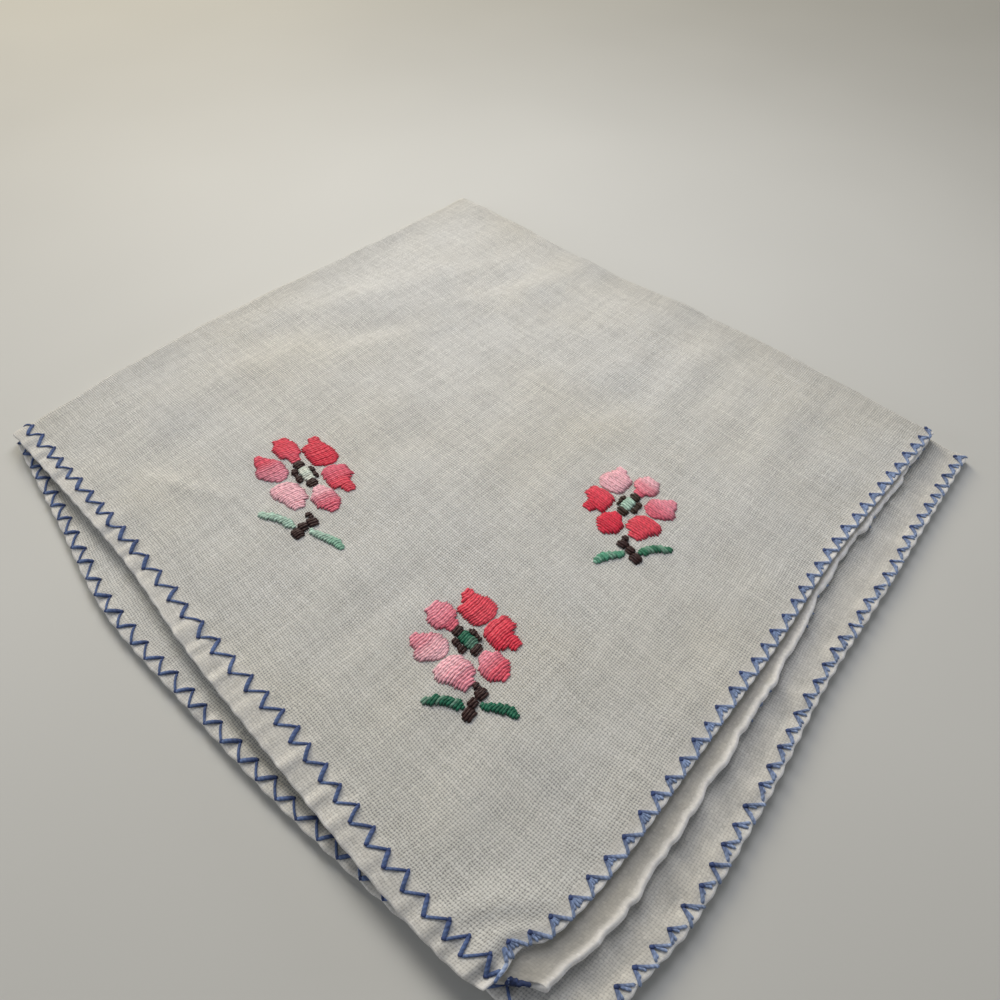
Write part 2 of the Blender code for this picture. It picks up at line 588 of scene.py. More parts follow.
    def shape_hems(self, spot: Spot, z: np.ndarray) -> np.ndarray:
        """Droop, rib, roll and crumple the sheet near its hems.

        Args:
            spot: the points.
            z: their heights on the smooth layers.

        Returns:
            Their new heights.
        """
        z = z - np.choose(spot.layer, HEM_DROOP) * fade(spot.edge, 9.0)
        z = z + np.choose(spot.layer, RIM_LIFT) * fade(spot.from_near, 0.9)
        rib = np.choose(spot.layer, SIDE_RIBS) * self.ribs(spot.v)
        z = z + rib * (1.0 - smooth_share(spot.from_left, spot.side_inset + 0.5, spot.side_inset + 5.0))
        rib = np.choose(spot.layer, END_RIBS) * self.ribs(spot.u + 5.0)
        z = z + rib * fade(spot.from_near, 4.0)
        past_top = np.clip((read_table(NEAR_HEM_Y[Layer.TOP], spot.across) - spot.hem_y) / 3.0, 0.0, 1.0)
        roll = past_top * 0.4 * fade(spot.from_near, 0.75)
        z = z + np.where(spot.on(Layer.SECOND), roll, 0.0)
        crumpled = np.where(spot.on(Layer.THIRD), 1.0 - smooth_share(spot.y, -6.0, 2.0), 0.0)
        return z + crumpled * HEM_CRUMPLE.rise(spot.x, spot.y) * smooth_share(spot.from_near, 0.0, 4.0)

    def plies(self, spot: Spot) -> tuple:
        """Say how thick the sheet is and how many plies of a hem show, counted past 1 where painted shade
        darkens the cloth.

        Args:
            spot: the points.

        Returns:
            The face's distance from the middle surface, the thickness and the plies, past 1 for painted
            shade.
        """
        second = spot.on(Layer.SECOND)
        side_hem = 1.0 - smooth_share(spot.from_left, spot.side_inset + 1.4, spot.side_inset + 2.6)
        end_width = np.where(second, self.wide_fold, self.narrow_fold)
        end_hem = 1.0 - smooth_share(spot.from_near, end_width, end_width + 1.0)
        in_hem = np.maximum(side_hem, end_hem)
        folded = self.hem_thickness + (self.bottom_hem_thickness - self.hem_thickness) * spot.bottom
        folded = folded - self.top_hem_thinning * end_hem * spot.on(Layer.TOP)
        thickness = self.cloth_thickness + (folded - self.cloth_thickness) * in_hem
        taper = np.interp(spot.edge, TAPER_PLACES, TAPER_SHARES)
        thickness = thickness * np.where(second, 0.5 + 0.5 * taper, taper)
        floor_face = self.solid_thickness / 2.0 - self.floor_inset * in_hem
        face = (1.0 - spot.bottom) * thickness / 2.0 + spot.bottom * floor_face
        # Painted shade: past 1 the plies darken the third layer's near strip, and at 2 the second layer's
        # wide near band.
        third_cover_and_shade = np.where(spot.on(Layer.THIRD), 1.3 * (1.0 - smooth_share(spot.y, -6.0, 0.0)), 0.0)
        plied_and_shaded = np.maximum(in_hem * np.where(second & (end_hem > 0.0), 2.0, 1.0), third_cover_and_shade)
        return face, thickness, plied_and_shaded

    def shape_rims(self, spot: Spot, z: np.ndarray) -> np.ndarray:
        """Move the rims to where the stitches, the notches and the near corner draw them.

        Args:
            spot: the points.
            z: their heights.

        Returns:
            Where the points lie, in plan millimetres.
        """
        top = spot.on(Layer.TOP)
        second = spot.on(Layer.SECOND)
        bulge_left = 0.08 * fade(spot.from_left, 1.2)
        bulge_near = np.choose(spot.layer, END_BULGE) * fade(spot.from_near, 1.2)
        lower_side_wave = 1.5 * self.scallop(Hem.SECOND_SIDE, spot.v)
        side_wave = np.where(spot.first_side, self.scallop(Hem.FIRST_SIDE, spot.v), lower_side_wave)
        lower_end_wave = self.scallop(Hem.SECOND_END, spot.u)
        end_wave = np.where(spot.v < self.length / 2, self.scallop(Hem.FIRST_END, spot.u), lower_end_wave)
        wander = np.where(second, 0.4 * self.rim_wander(spot.u), 0.0) * fade(spot.from_near, 3.0)
        corner_rise = 1.5 * fade(spot.x - 5.0, 2.2, spot.from_near, 4.0) * top
        corner_lobe = 1.1 * fade(spot.x - 3.4, 2.2, spot.from_near, 3.0) * second
        corner_flare = 0.9 * fade(spot.from_left, 5.0, spot.y - 4.0, 7.0) * top
        corner_round = 1.7 * fade(spot.from_left, 3.0, spot.from_near, 2.6) * second
        x = spot.x - bulge_left * side_wave - corner_flare + corner_round
        y = spot.y - bulge_near * end_wave - wander + corner_rise - corner_lobe
        return np.stack((x, y, z + 0.4 * bulge_near * end_wave + 0.3 * wander), axis=-1)

    def lay(self, u: np.ndarray, v: np.ndarray) -> Laid:
        """Lay flat points on the folded pile.

        Args:
            u: flat places across.
            v: flat places along.

        Returns:
            The points once laid, with their facing, thickness and shares.
        """
        across, side_angle, along, back_angle = self.turns(u, v)
        side_radius = (self.solid_thickness + self.layer_gap) / 2.0
        back_radius = 2.0 * side_radius
        reach = side_radius + back_radius
        right = side_angle <= np.pi / 2
        upper = back_angle <= np.pi / 2
        layer = np.select([right & upper, upper, ~right], [0, 1, 2], 3)
        hem_x = np.choose(layer, [read_table(LEFT_HEM_X[name], along) for name in Layer])
        hem_y = np.choose(layer, [read_table(NEAR_HEM_Y[name], across) for name in Layer])
        lower_crease_x = read_table(LOWER_SIDE_CREASE_X, along)
        crease_x = np.where(upper, read_table(UPPER_SIDE_CREASE_X, along), lower_crease_x)
        side_end = crease_x - self.solid_thickness / 2.0 - side_radius
        back_end = read_table(BACK_CREASE_Y, across) - self.solid_thickness / 2.0 - reach
        offset = side_radius * np.cos(side_angle)
        x = (1.0 - across) * hem_x + across * side_end + side_radius * np.sin(side_angle)
        y = (1.0 - along) * hem_y + along * back_end + (back_radius + offset) * np.sin(back_angle)
        above = reach + (back_radius + offset) * np.cos(back_angle)
        share = above / (2.0 * reach)
        swell = sum(ridge.rise(x, y) for ridge in SWELLS + WRINKLES) + SOFT_CRUMPLE.rise(x, y)
        z = self.solid_thickness / 2.0 + above + share * swell

        from_left = np.minimum(u, self.width - u)
        from_near = np.minimum(v, self.length - v)
        first_side = u < self.width / 2
        side_inset = np.where(first_side, self.inset(Hem.FIRST_SIDE, v), self.inset(Hem.SECOND_SIDE, v))
        bottom = 1.0 - smooth_share(share, 0.02, 0.3)
        spot = Spot(
            u, v, across, layer, x, y, hem_y, bottom, from_left, from_near, first_side, side_inset
        )
        points = self.shape_rims(spot, self.shape_hems(spot, z))
        face, thickness, plied_and_shaded = self.plies(spot)
        # Painted highlight: the rims are painted lighter, the near ones most.
        near_rim_highlight = fade(from_near, np.where(spot.on(Layer.SECOND), 1.0, 0.8))
        rim = near_rim_highlight + 0.45 * fade(from_left, 0.6)
        facing = np.stack(
            (
                np.sin(side_angle),
                np.cos(side_angle) * np.sin(back_angle),
                np.cos(side_angle) * np.cos(back_angle),
            ),
            axis=-1,
        )
        # How near a crease is, for the painted shade there.
        from_crease = np.minimum(np.abs(u - self.top_width), np.abs(v - self.upper_length))
        return Laid(points, facing, face, thickness, plied_and_shaded, np.clip(rim, 0.0, 1.0), fade(from_crease, 6.5))

    def to_metres(self, points: np.ndarray) -> np.ndarray:
        """Turn plan millimetres into the frame's metres."""
        return (points - np.array((self.centre_x, self.centre_y, 0.0))) * MM

    def flat_place(self, x: np.ndarray, y: np.ndarray) -> tuple:
        """Find the flat place of points of the top layer.

        Args:
            x: plan distance from the near corner along the near hem.
            y: plan distance along the left hem.

        Returns:
            The flat places across and along.
        """
        side_radius = (self.solid_thickness + self.layer_gap) / 2.0
        across = x / self.top_width
        along = y / self.upper_length
        for _ in range(4):
            hem_x = read_table(LEFT_HEM_X[Layer.TOP], along)
            side_end = read_table(UPPER_SIDE_CREASE_X, along) - self.solid_thickness / 2.0 - side_radius
            hem_y = read_table(NEAR_HEM_Y[Layer.TOP], across)
            back_end = read_table(BACK_CREASE_Y, across) - self.solid_thickness / 2.0 - 3.0 * side_radius
            across = (x - hem_x) / (side_end - hem_x)
            along = (y - hem_y) / (back_end - hem_y)
        return across * self.top_width, along * self.upper_length


# The cloth


@dataclass
class ClothSheet:
    """The square of linen with its turned hems, folded in four."""

    fold: FoldedSquare
    hem_lines: tuple = (0.0, 0.3, 0.7, 1.4, 2.2, 3.0, 3.8)
    top_steps: int = 106
    under_steps: int = 58
    upper_steps: int = 112
    lower_steps: int = 50
    side_bend_steps: int = 8
    back_bend_steps: int = 10
    hem_step: float = 0.75

    def lines(
        self, first: float, first_steps: int, bend: float, bend_steps: int, second_steps: int, whole: float
    ) -> np.ndarray:
        """Space the grid lines of one direction, close at the hems and the bend.

        Args:
            first: flat length before the bend.
            first_steps: steps from the hem to the bend.
            bend: flat length of the bend.
            bend_steps: steps round the bend.
            second_steps: steps from the bend to the other hem.
            whole: whole flat length.

        Returns:
            The flat place of each line.
        """
        hem = np.array(self.hem_lines)
        return np.concatenate(
            (
                hem,
                np.linspace(hem[-1], first, first_steps + 1)[1:],
                np.linspace(first, first + bend, bend_steps + 1)[1:],
                np.linspace(first + bend, whole - hem[-1], second_steps + 1)[1:],
                (whole - hem[::-1])[1:],
            )
        )

    def flat_sheet(self) -> bmesh.types.BMesh:
        """Cut the flat sheet as a grid whose hem strips have finer steps along the hem.

        Returns:
            A mesh in flat millimetres.
        """
        fold = self.fold
        across = self.lines(
            fold.top_width,
            self.top_steps,
            fold.side_bend,
            self.side_bend_steps,
            self.under_steps,
            fold.width,
        )
        along = self.lines(
            fold.upper_length,
            self.upper_steps,
            fold.back_bend,
            self.back_bend_steps,
            self.lower_steps,
            fold.length,
        )
        bm = bmesh.new()
        nx = len(across) - 1
        ny = len(along) - 1
        bmesh.ops.create_grid(bm, x_segments=nx, y_segments=ny, size=0.5)
        for vert in bm.verts:
            column = round((vert.co.x + 0.5) * nx)
            row = round((vert.co.y + 0.5) * ny)
            vert.co = (across[column], along[row], 0.0)
        strip = self.hem_lines[-2] + 0.01
        cuts: dict[int, list] = {}
        for edge in bm.edges:
            a, b = (vert.co for vert in edge.verts)
            length = (a - b).length
            along_side = abs(a.x - b.x) < 1e-4 and min(a.x, fold.width - a.x) < strip
            along_end = abs(a.y - b.y) < 1e-4 and min(a.y, fold.length - a.y) < strip
            pieces = math.ceil(length / self.hem_step)
            if (along_side or along_end) and pieces > 1:
                cuts.setdefault(pieces - 1, []).append(edge)
        for count, edges in cuts.items():
            whole = [edge for edge in edges if edge.is_valid]
            bmesh.ops.subdivide_edges(bm, edges=whole, cuts=count, use_grid_fill=True)
        return bm

    def build(self) -> bpy.types.Object:
        """Fold the sheet and give it its thickness.

        Returns:
            The cloth.
        """
        bm = self.flat_sheet()
        uv = bm.loops.layers.uv.new("flat")
        for face in bm.faces:
            for loop in face.loops:
                loop[uv].uv = loop.vert.co.xy / SHEET_UV_MM
        mesh = bpy.data.meshes.new("linen_cloth")
        bm.to_mesh(mesh)
        bm.free()
        flat = np.zeros(len(mesh.vertices) * 3)
        mesh.vertices.foreach_get("co", flat)
        flat = flat.reshape(-1, 3)
        laid = self.fold.lay(flat[:, 0], flat[:, 1])
        placed = self.fold.to_metres(laid.middle + laid.facing * laid.face[:, None])
        mesh.vertices.foreach_set("co", placed.ravel())
        for name in ("plies_and_shade", "rim_highlight_share", "crease_shade_share"):
            attribute = mesh.attributes.new(name, "FLOAT", "POINT")
            attribute.data.foreach_set("value", getattr(laid, name))
        mesh.update()
        cloth = show("linen_cloth", mesh)
        group = cloth.vertex_groups.new(name="thickness")
        for index, value in enumerate(laid.thickness / self.fold.hem_thickness):
            group.add([index], float(value), "REPLACE")
        solidify = cloth.modifiers.new("thickness", "SOLIDIFY")
        solidify.thickness = self.fold.hem_thickness * MM
        solidify.offset = -1.0
        solidify.vertex_group = group.name
        solidify.use_quality_normals = True
        return cloth


# Stitches


class Floss(Enum):
    """Colours of the threads, as sRGB hex."""

    BLUE = "687fac"
    # Darker and paler copies of the blue, painting the hem thread's shade and highlights.
    BLUE_PAINTED_SHADE = "3a4b79"
    BLUE_PAINTED_HIGHLIGHT = "a2b5d6"
    CRIMSON = "e0344c"
    CORAL_RED = "ea4e60"
    CORAL_ROSE = "e95c70"
    ROSE = "e66d81"
    PINK = "f09bab"
    LIGHT_PINK = "f8c1ca"
    DARK_BROWN = "341a18"
    OLIVE_BROWN = "3a2a1e"
    DARK_GREEN = "1b6a50"
    LEAF_GREEN = "3b8061"
    MID_GREEN = "559a7d"
    FADED_GREEN = "86b89f"
    PALE_MINT = "b6d5c4"
    IVORY = "dde3d6"


def dyed(floss: Floss, tone: float = 1.0) -> np.ndarray:
    """Give a thread's linear colour at a tone of about 1."""
    return np.array(hex_colour(floss.value)[:3]) * tone


@dataclass
class StitchRun:
    """Many stitches of thread that become one mesh."""

    name: str
    sides: int = 6
    steps: int = 8
    lowest: float = 0.03
    paths: list = field(default_factory=list)
    normals: list = field(default_factory=list)
    half_widths: list = field(default_factory=list)
    half_heights: list = field(default_factory=list)
    colours: list = field(default_factory=list)

    def add(
        self, path: np.ndarray, normal: np.ndarray, width: float, height: float, colours: tuple
    ) -> None:
        """Add one stitch.

        Args:
            path: its centre line, one point a step, in plan millimetres.
            normal: the cloth's facing direction at each point.
            width: half its width.
            height: half its height.
            colours: its linear colours at the start and at the end.
        """
        self.paths.append(path)
        self.normals.append(normal)
        self.half_widths.append(width)
        self.half_heights.append(height)
        self.colours.append(colours)

    def thread_mesh(self) -> bpy.types.Mesh:
        """Make the one short length of thread that each stitch is a copy of.

        Returns:
            A tube along Z from -0.5 to 0.5 with a radius of 1.
        """
        bm = bmesh.new()
        bmesh.ops.create_cone(bm, cap_ends=True, segments=self.sides, radius1=1.0, radius2=1.0, depth=1.0)
        upright = [edge for edge in bm.edges if abs(edge.verts[0].co.z - edge.verts[1].co.z) > 0.5]
        bmesh.ops.subdivide_edges(bm, edges=upright, cuts=self.steps - 1)
        mesh = bpy.data.meshes.new("thread")
        bm.to_mesh(mesh)
        bm.free()
        return mesh

    def build(self, fold: FoldedSquare) -> bpy.types.Object:
        """Join all the stitches.

        Args:
            fold: the pile that they lie on.

        Returns:
            The piece.
        """
        thread = self.thread_mesh()
        one = np.zeros(len(thread.vertices) * 3)
        thread.vertices.foreach_get("co", one)
        one = one.reshape(-1, 3)
        ring = np.rint((one[:, 2] + 0.5) * self.steps).astype(int)
        turn = np.arctan2(one[:, 1], one[:, 0])

        path = np.stack(self.paths)
        normal = np.stack(self.normals)
        tangent = unit(np.gradient(path, axis=1))
        side = unit(np.cross(tangent, normal))
        up = np.cross(side, tangent)
        share = np.linspace(0.0, 1.0, self.steps + 1)
        taper = np.clip(0.55 + 6.0 * np.minimum(share, 1.0 - share), 0.0, 1.0)[None, ring, None]
        wide = np.array(self.half_widths)[:, None, None] * taper * np.cos(turn)[None, :, None]
        high = np.array(self.half_heights)[:, None, None] * taper * np.sin(turn)[None, :, None]
        placed = path[:, ring] + side[:, ring] * wide + up[:, ring] * high
        placed[..., 2] = np.maximum(placed[..., 2], self.lowest)

        bm = bmesh.new()
        for _ in self.paths:
            bm.from_mesh(thread)
        uv = bm.loops.layers.uv.new("thread")
        lengths = np.linalg.norm(np.diff(path, axis=1), axis=2).sum(axis=1)
        around = (turn / (2.0 * np.pi)) % 1.0
        count = len(one)
        bm.verts.index_update()
        for face in bm.faces:
            for loop in face.loops:
                stitch, index = divmod(loop.vert.index, count)
                loop[uv].uv = (around[index], share[ring[index]] * lengths[stitch] / THREAD_UV_MM)
        mesh = bpy.data.meshes.new(self.name)
        bm.to_mesh(mesh)
        bm.free()
        bpy.data.meshes.remove(thread)
        mesh.vertices.foreach_set("co", fold.to_metres(placed.reshape(-1, 3)).ravel())
        # The stitches' colours carry painted shade at their ends and, on the hem, painted shade and
        # highlights in the blues.
        colour = mesh.color_attributes.new("floss", "FLOAT_COLOR", "POINT")
        ends = np.array(self.colours)
        along = share[ring][None, :, None]
        shade = np.clip(0.62 + 2.6 * np.minimum(along, 1.0 - along), 0.0, 1.0)
        mixed = (ends[:, None, 0] * (1.0 - along) + ends[:, None, 1] * along) * shade
        alpha = np.ones(mixed.shape[:2] + (1,))
        colour.data.foreach_set("color", np.concatenate((mixed, alpha), axis=2).ravel())
        mesh.update()
        return show(self.name, mesh)


@dataclass
class ZigzagHem:
    """The blue zigzag along one hem of the sheet."""

    name: str
    fold: FoldedSquare
    hem: Hem
    depth: float = 2.2
    thread: float = 0.66
    seed: int = 1

    def hem_points(
        self, place: np.ndarray, inward: np.ndarray, rise: np.ndarray, wrong_side: bool
    ) -> tuple:
        """Put points on the hem's face, or round its edge where they pass it.

        Args:
            place: flat distance along the hem.
            inward: flat distance from the edge, negative past it.
            rise: distance above the face.
            wrong_side: whether they lie on the cloth's wrong side.

        Returns:
            The points and the directions that the surface faces there.
        """
        fold = self.fold
        inside = np.maximum(inward, 0.0)
        if self.hem is Hem.FIRST_SIDE:
            u, v = inside, place
        elif self.hem is Hem.SECOND_SIDE:
            u, v = fold.width - inside, place
        elif self.hem is Hem.FIRST_END:
            u, v = place, inside
        else:
            u, v = place, fold.length - inside
        laid = fold.lay(u, v)
        outward = np.zeros(3)
        outward[0 if self.hem in (Hem.FIRST_SIDE, Hem.SECOND_SIDE) else 1] = -1.0
        turn = np.clip(-inward / 0.45, 0.0, 2.2)[..., None]
        facing = -laid.facing if wrong_side else laid.facing
        direction = facing * np.cos(turn) + outward * np.sin(turn)
        return laid.middle + direction * (np.abs(laid.face) + rise)[..., None], direction

    def stitch(
        self, run: StitchRun, start: tuple, end: tuple, width: float, colours: tuple, wrong_side: bool = False
    ) -> None:
        """Lay one straight stitch.

        Args:
            run: the mesh in the making.
            start: its place along the hem and its distance from the edge.
            end: the same for its other end.
            width: its width.
            colours: its colours at the start and at the end.
            wrong_side: whether it lies on the cloth's wrong side.
        """
        share = np.linspace(0.0, 1.0, run.steps + 1)
        place = start[0] + (end[0] - start[0]) * share
        inward = start[1] + (end[1] - start[1]) * share
        crown = 1.0 - (2.0 * share - 1.0) ** 4
        rise = -0.12 + (0.12 + 0.34 * width) * crown
        rise = np.where(inward < 0.3, np.maximum(rise, 0.1), rise)
        path, facing = self.hem_points(place, inward, rise, wrong_side)
        run.add(path, facing, width / 2.0, 0.36 * width, colours)

    def step_stitches(
        self, run: StitchRun, start: float, end: float, inset: float, random: np.random.Generator
    ) -> None:
        """Sew one step of a side hem: a thick riser, a thin tread and the points between them, darkened as
        painted shade.

        Args:
            run: the mesh in the making.
            start: place of one outer point.
            end: place of the next.
            inset: distance of both from the edge.
            random: the hem's own random numbers.
        """
        depth = inset + self.depth * random.uniform(0.9, 1.1)
        middle = start + (end - start) * random.uniform(0.34, 0.48)
        riser = self.thread * random.uniform(0.95, 1.25)
        tread = self.thread * random.uniform(0.65, 0.8)
        tones = random.uniform(0.85, 1.15, 4)
        first = dyed(Floss.BLUE, tones[0])
        last = dyed(Floss.BLUE, tones[1])
        # Painted shade: the points between riser and tread are darker blue.
        dark = dyed(Floss.BLUE_PAINTED_SHADE, tones[2])
        self.stitch(run, (start + 0.05, inset), (middle, depth), riser, (first, dark))
        self.stitch(run, (middle + 0.05, depth), (end - 0.05, inset), tread, (dark, last))
        inner_point = ((middle - 0.25, depth - 0.2), (middle + 0.22, depth + 0.1))
        outer_point = ((start - 0.22, inset + 0.2), (start + 0.25, inset - 0.08))
        self.stitch(run, *inner_point, 0.85 * riser, (dark, dark))
        self.stitch(run, *outer_point, 0.8 * riser, (dark, dark))

    def dart_stitches(
        self, run: StitchRun, start: float, end: float, inset: float, random: np.random.Generator
    ) -> None:
        """Sew one dart of an end hem: two thin arms over the rim, filled towards their point, painted pale as
        a highlight at the rim and dark as shade at the point.

        Args:
            run: the mesh in the making.
            start: place of one outer point.
            end: place of the next.
            inset: distance of both from the edge.
            random: the hem's own random numbers.
        """
        depth = inset + self.depth * random.uniform(0.88, 1.1)
        middle = start + (end - start) * random.uniform(0.44, 0.56)
        arm = self.thread * random.uniform(0.7, 0.9)
        tones = random.uniform(0.85, 1.15, 4)
        # Painted highlight at the rim and painted shade at the point.
        dark = dyed(Floss.BLUE_PAINTED_SHADE, tones[2])
        blue = dyed(Floss.BLUE, tones[0])
        pale = dyed(Floss.BLUE_PAINTED_HIGHLIGHT, tones[3])
        hidden = start > self.fold.width / 2 and random.random() < 0.75
        foot = 0.4 if hidden else -0.3
        self.stitch(run, (start + 0.05, foot), (middle, depth), arm, (pale, dark))
        self.stitch(run, (middle + 0.05, depth), (end - 0.05, foot), 1.1 * arm, (dark, pale))
        self.stitch(run, (middle - 0.22, depth - 0.3), (middle + 0.2, depth), 1.3 * arm, (dark, dark))
        filling = 4 if start < self.fold.width / 2 else 2
        for lean in np.linspace(-0.75, 0.85, filling):
            tip = middle + lean * random.uniform(0.8, 1.2)
            reach = inset + random.uniform(0.35, 1.0)
            self.stitch(run, (middle + 0.3 * lean, depth - 0.25), (tip, reach), 0.5, (blue, pale))

    def knot(self, run: StitchRun, random: np.random.Generator) -> None:
        """Finish the sewing with a few short stitches over one another at the corner, darkened as painted
        shade, with a few pale ones as painted highlights.

        Args:
            run: the mesh in the making.
            random: the hem's own random numbers.
        """
        for number in range(12):
            place = 0.5 + 0.11 * number
            lean = random.uniform(0.7, 1.5)
            floss = Floss.BLUE_PAINTED_HIGHLIGHT if number % 5 == 4 else Floss.BLUE_PAINTED_SHADE
            # Painted shade: the knot is darkened as it lies in shade at the corner.
            colour = dyed(floss, random.uniform(0.45, 0.9))
            reach = random.uniform(1.6, 2.4)
            self.stitch(run, (place, -0.3), (place + lean, reach), 0.7, (colour, colour), wrong_side=True)

    def build(self) -> bpy.types.Object:
        """Sew the whole hem.

        Returns:
            The piece.
        """
        random = np.random.default_rng(self.seed)
        run = StitchRun(self.name)
        fold = self.fold
        teeth = fold.teeth(self.hem)
        side = self.hem in (Hem.FIRST_SIDE, Hem.SECOND_SIDE)
        for start, end in zip(teeth[:-1], teeth[1:]):
            inset = float(fold.inset(self.hem, np.array((start + end) / 2.0)))
            if side:
                self.step_stitches(run, start, end, inset, random)
            else:
                self.dart_stitches(run, start, end, inset, random)
        blue = dyed(Floss.BLUE)
        # A painted highlight for the stitches at the near corner.
        pale = dyed(Floss.BLUE_PAINTED_HIGHLIGHT)
        if self.hem is Hem.FIRST_SIDE:
            self.stitch(run, (teeth[0] + 0.1, 1.7), (0.6, 3.2), 0.6, (dyed(Floss.BLUE_PAINTED_SHADE), blue))
            self.stitch(run, (0.6, 3.2), (-0.1, 1.6), 0.5, (blue, blue))
        elif self.hem is Hem.FIRST_END:
            self.stitch(run, (4.9, 0.1), (5.4, 2.3), 0.6, (pale, blue))
            self.stitch(run, (5.4, 2.3), (4.2, 0.5), 0.65, (blue, pale))
            self.stitch(run, (4.3, 0.5), (2.2, 0.2), 0.6, (pale, pale))
        elif self.hem is Hem.SECOND_SIDE:
            self.knot(run, random)
        return run.build(fold)


class Petal(Enum):
    """Parts of the flower, by where they lie in the near one."""

    FAR_RIGHT = "far right"
    RIGHT = "right"
    NEAR = "near"
    LEFT = "left"
    FAR_LEFT = "far left"
    FAR = "far"
    RING = "ring"
    CENTRE = "centre"
    STEM = "stem"
    FIRST_LEAF = "first leaf"
    SECOND_LEAF = "second leaf"


# The flower's chart, in plan millimetres of the near flower: bands of satin
# stitches that run along x, as y from, y to, x from and x to. The other flowers
# turn and stretch the head about its centre and the stem and leaves about theirs.
HEAD_CENTRE = (32.1, 38.8)
STEM_CENTRE = (24.9, 30.0)
CHART = {
    Petal.FAR_RIGHT: (
        (39.0, 39.5, 36.2, 40.0),
        (39.5, 40.0, 35.0, 40.5),
        (40.0, 43.0, 34.5, 40.9),
        (43.0, 44.3, 34.6, 40.2),
        (44.3, 45.0, 35.0, 39.9),
        (45.0, 46.3, 37.3, 39.9),
    ),
    Petal.RIGHT: (
        (31.4, 33.0, 36.2, 38.8),
        (33.0, 34.0, 34.3, 38.9),
        (34.0, 34.5, 34.3, 39.5),
        (34.5, 36.5, 34.3, 40.6),
        (36.5, 37.8, 34.5, 40.6),
        (37.8, 38.3, 35.2, 39.0),
    ),
    Petal.FAR: ((42.3, 44.0, 30.9, 33.6), (44.0, 47.2, 29.4, 34.9), (47.2, 48.6, 30.4, 34.2)),
    Petal.NEAR: (
        (29.0, 29.8, 30.6, 33.2),
        (29.8, 30.5, 30.0, 34.0),
        (30.5, 33.9, 29.2, 34.6),
        (33.9, 35.3, 30.7, 33.5),
    ),
    Petal.LEFT: (
        (32.3, 33.5, 24.8, 28.0),
        (33.5, 35.0, 24.3, 29.5),
        (35.0, 36.0, 23.8, 29.8),
        (36.0, 38.0, 23.0, 29.5),
        (38.0, 38.9, 23.5, 28.5),
    ),
    Petal.FAR_LEFT: (
        (39.8, 40.3, 25.6, 28.8),
        (40.3, 41.0, 24.8, 29.4),
        (41.0, 41.8, 24.0, 29.7),
        (41.8, 43.3, 23.1, 29.7),
        (43.3, 43.9, 23.4, 29.6),
        (43.9, 44.7, 24.3, 29.0),
        (44.7, 45.6, 24.3, 27.8),
        (45.6, 46.6, 24.8, 27.0),
    ),
    Petal.RING: (
        (40.5, 42.0, 30.9, 33.3),
        (35.7, 37.2, 30.6, 33.2),
        (39.2, 40.7, 29.7, 31.0),
        (37.5, 39.1, 29.5, 30.9),
        (38.3, 40.1, 33.3, 34.3),
        (37.2, 38.4, 33.2, 34.2),
    ),
    Petal.CENTRE: ((37.1, 40.4, 30.9, 33.5),),
    Petal.STEM: (
        (31.0, 32.4, 26.5, 27.9),
        (29.3, 31.1, 25.6, 28.0),
        (29.2, 30.9, 23.8, 25.8),
        (28.2, 30.2, 21.7, 24.2),
    ),
    Petal.FIRST_LEAF: (
        (30.5, 31.2, 22.4, 23.7),
        (31.2, 32.5, 21.6, 23.7),
        (32.5, 33.5, 21.1, 23.1),
        (33.5, 34.5, 20.4, 22.6),
        (34.5, 35.5, 19.2, 21.7),
        (35.5, 36.5, 18.7, 20.4),
    ),
    Petal.SECOND_LEAF: (
        (22.8, 24.0, 27.4, 28.8),
        (24.0, 25.0, 27.1, 29.0),
        (25.0, 26.0, 26.5, 28.6),
        (26.0, 27.0, 25.8, 28.0),
        (27.0, 28.0, 25.2, 27.1),
        (28.0, 29.0, 25.0, 26.2),
    ),
}

GREENS = (Petal.CENTRE, Petal.FIRST_LEAF, Petal.SECOND_LEAF)
BROWNS = (Petal.RING, Petal.STEM)
FOOT = (Petal.STEM, Petal.FIRST_LEAF, Petal.SECOND_LEAF)


